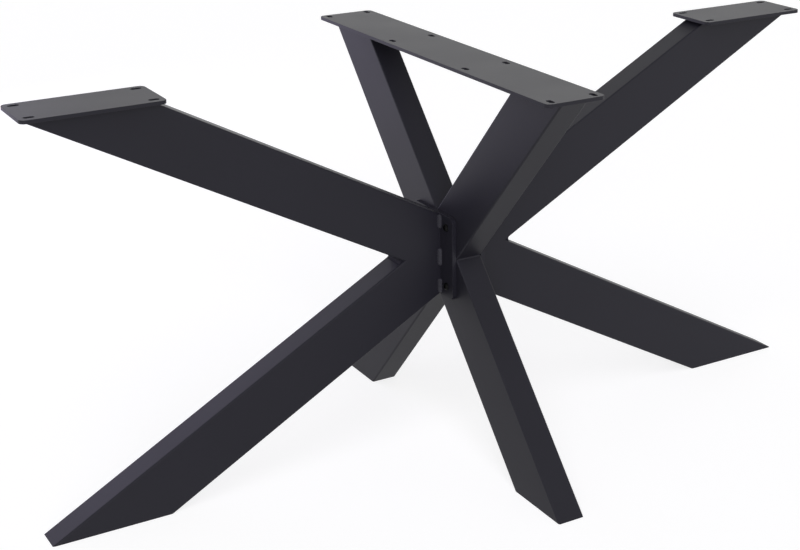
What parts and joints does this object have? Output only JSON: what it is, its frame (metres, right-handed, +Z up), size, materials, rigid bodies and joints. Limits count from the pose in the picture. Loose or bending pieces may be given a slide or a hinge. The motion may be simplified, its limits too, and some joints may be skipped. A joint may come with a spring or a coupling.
{
  "type": "cross table base",
  "caption": "Cross table base of black rectangular steel tube: a crossed centre frame with bolted side V frames, slotted plates under the table top and closed feet.",
  "frame": {"origin": "on the floor, under the centre of the hub", "axes": "+X along the table, +Y across it, +Z up"},
  "size_m": [1.524, 0.7866, 0.72],
  "materials": {
    "powder_coat": "satin black powder coat",
    "fastener": "black oxide",
    "weld_nut": "plain"
  },
  "bodies": {
    "root": {"cross_back_foot_cap": "powder_coat", "cross_back_weld": "powder_coat", "cross_bottom_weld": "powder_coat", "cross_front_foot_cap": "powder_coat", "cross_front_weld": "powder_coat", "cross_lower_tube": "powder_coat", "cross_through_tube": "powder_coat", "cross_top_plate": "powder_coat", "cross_top_weld": "powder_coat", "cross_upper_tube": "powder_coat", "left_back_stitch_welds": "powder_coat", "left_bolts": "fastener", "left_corner_weld": "powder_coat", "left_flange": "powder_coat", "left_foot_cap": "powder_coat", "left_front_stitch_welds": "powder_coat", "left_lower_arm": "powder_coat", "left_nuts": "weld_nut", "left_top_plate": "powder_coat", "left_upper_arm": "powder_coat", "right_back_stitch_welds": "powder_coat", "right_bolts": "fastener", "right_corner_weld": "powder_coat", "right_flange": "powder_coat", "right_foot_cap": "powder_coat", "right_front_stitch_welds": "powder_coat", "right_lower_arm": "powder_coat", "right_nuts": "weld_nut", "right_top_plate": "powder_coat", "right_upper_arm": "powder_coat"}
  },
  "joints": []
}
